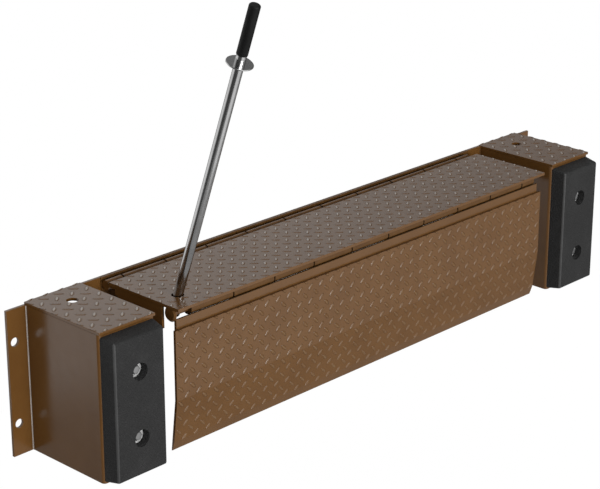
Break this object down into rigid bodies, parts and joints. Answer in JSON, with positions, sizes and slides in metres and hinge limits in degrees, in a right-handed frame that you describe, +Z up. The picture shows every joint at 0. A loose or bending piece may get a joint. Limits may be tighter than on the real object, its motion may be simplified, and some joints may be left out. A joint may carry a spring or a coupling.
{
  "type": "edge-of-dock leveler",
  "caption": "Hinged tread-plate deck and hanging lip between two bumper boxes, fixed to a loading dock's edge and raised by a hand lever.",
  "frame": {"origin": "centre of the mounting plate's rear face, which lies on the dock's front wall", "axes": "+X along the dock's edge, +Y into the wall, -Y out towards the lorry, +Z up"},
  "size_m": [2.577, 0.6533, 1.4764],
  "materials": {
    "brown_paint": "gloss brown enamel over folded and welded steel",
    "tread_paint": "gloss brown enamel over tread plate",
    "bumper_rubber": "moulded black rubber",
    "lever_steel": "bright plated tube",
    "grip_rubber": "matt black"
  },
  "bodies": {
    "wall_frame": {"left_box_shell": "brown_paint", "left_box_top": "tread_paint", "left_bumper": "bumper_rubber", "right_box_shell": "brown_paint", "right_box_top": "tread_paint", "right_bumper": "bumper_rubber", "mounting_plate": "brown_paint", "wall_knuckles": "brown_paint", "rear_hinge_rod": "brown_paint"},
    "deck": {"deck_plate": "tread_paint", "deck_side_plate_left": "brown_paint", "deck_side_plate_right": "brown_paint", "deck_rear_knuckles": "brown_paint", "deck_front_knuckles": "brown_paint", "front_hinge_rod": "brown_paint", "lever_socket": "brown_paint"},
    "lip": {"lip_plate": "tread_paint", "lip_hinge_bar": "brown_paint", "lip_knuckles": "brown_paint"},
    "lever": {"lever_tube": "lever_steel", "lever_hand_guard": "lever_steel", "lever_grip": "grip_rubber"}
  },
  "joints": [
    {"name": "deck_hinge", "type": "hinge", "parent": "wall_frame", "child": "deck", "pos_m": [0, -0.031, 0.0563], "axis": [-1, 0, 0], "range_deg": [0, 60]},
    {"name": "lip_hinge", "type": "hinge", "parent": "deck", "child": "lip", "pos_m": [0, -0.33, 0.043], "axis": [-1, 0, 0], "range_deg": [0, 90]},
    {"name": "lever_slide", "type": "slide", "parent": "deck", "child": "lever", "axis": [0, -0.3387, 0.9409], "range_m": [0, 0.12]}
  ]
}
